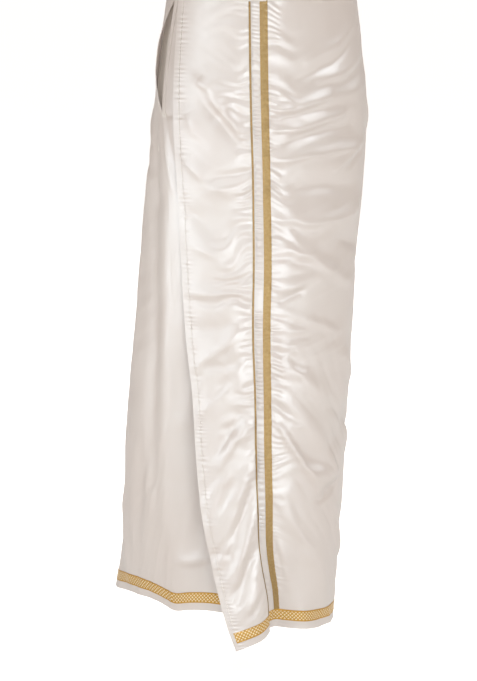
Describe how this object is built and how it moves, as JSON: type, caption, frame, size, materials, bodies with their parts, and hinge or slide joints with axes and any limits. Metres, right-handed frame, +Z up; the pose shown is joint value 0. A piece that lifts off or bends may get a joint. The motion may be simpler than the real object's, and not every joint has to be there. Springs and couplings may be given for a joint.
{
  "type": "dhoti cloth",
  "caption": "Ivory satin dhoti, wound and worn full length, with a pocket, a gold band down the front and a gold diamond border at the hem.",
  "frame": {"origin": "centre of the waist, at the top edge of the cloth, where the wearer holds it up", "axes": "+Z up along the wearer, -Y towards the wearer's front, +X towards the wearer's left"},
  "size_m": [0.3531, 0.3578, 1.0105],
  "materials": {
    "ivory_satin": "glossy satin weave, ivory",
    "gold_zari": "metallic gold thread, plain",
    "gold_border": "metallic gold thread with pale woven diamonds",
    "pocket_cloth": "plain weave, off white"
  },
  "bodies": {
    "root": {"front_flap": "ivory_satin", "front_strip": "ivory_satin", "front_left_stretch": "ivory_satin", "left_side_stretch": "ivory_satin", "back_stretch": "ivory_satin", "right_side_stretch": "ivory_satin", "under_stretch": "ivory_satin", "flap_edge_hem": "ivory_satin", "waistband_front": "ivory_satin", "waistband_left": "ivory_satin", "waistband_back": "ivory_satin", "waistband_right": "ivory_satin", "waistband_under": "ivory_satin", "gold_band": "gold_zari", "gold_line": "gold_zari", "border_flap": "gold_border", "border_strip": "gold_border", "border_front": "gold_border", "border_left": "gold_border", "border_back": "gold_border", "border_right": "gold_border", "border_under": "gold_border", "pocket_facing": "pocket_cloth", "pocket_edge_front": "pocket_cloth", "pocket_edge_back": "pocket_cloth"}
  },
  "joints": []
}
